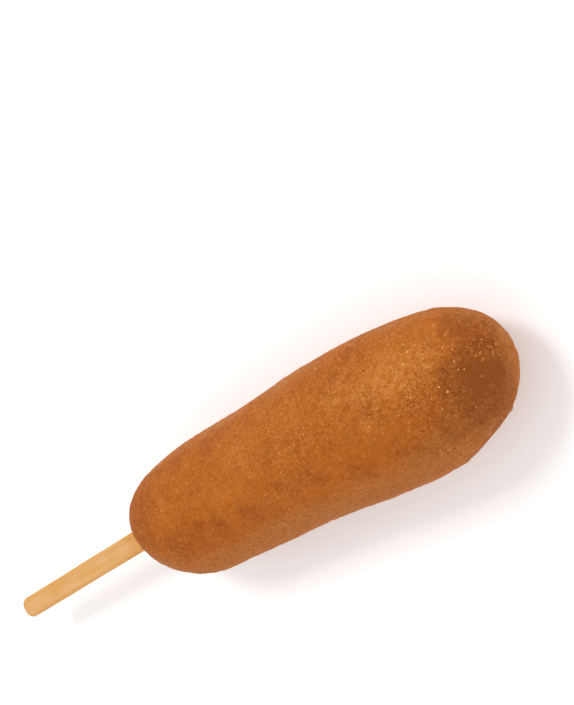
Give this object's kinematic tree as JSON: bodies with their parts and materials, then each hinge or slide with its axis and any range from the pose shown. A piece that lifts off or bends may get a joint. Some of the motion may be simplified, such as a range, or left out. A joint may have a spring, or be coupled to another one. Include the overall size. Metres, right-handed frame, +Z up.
{
  "type": "corn dog",
  "caption": "Corn dog lying on its side: a fried cornmeal batter body with rounded ends, a little thicker towards the tip, on a flat wooden stick.",
  "frame": {"origin": "on the resting surface, under the middle of the batter's length", "axes": "+X runs from the stick end to the tip, +Z up, so the corn dog lies flat along X"},
  "size_m": [0.1784, 0.0386, 0.0368],
  "materials": {
    "fried_batter": "satin fried cornmeal crust, caramel brown with fine paler grains, darker and smoother at the tip",
    "stick_wood": "plain smooth birch wood, unvarnished, with faint straight grain"
  },
  "bodies": {
    "root": {"batter": "fried_batter", "stick": "stick_wood"}
  },
  "joints": []
}
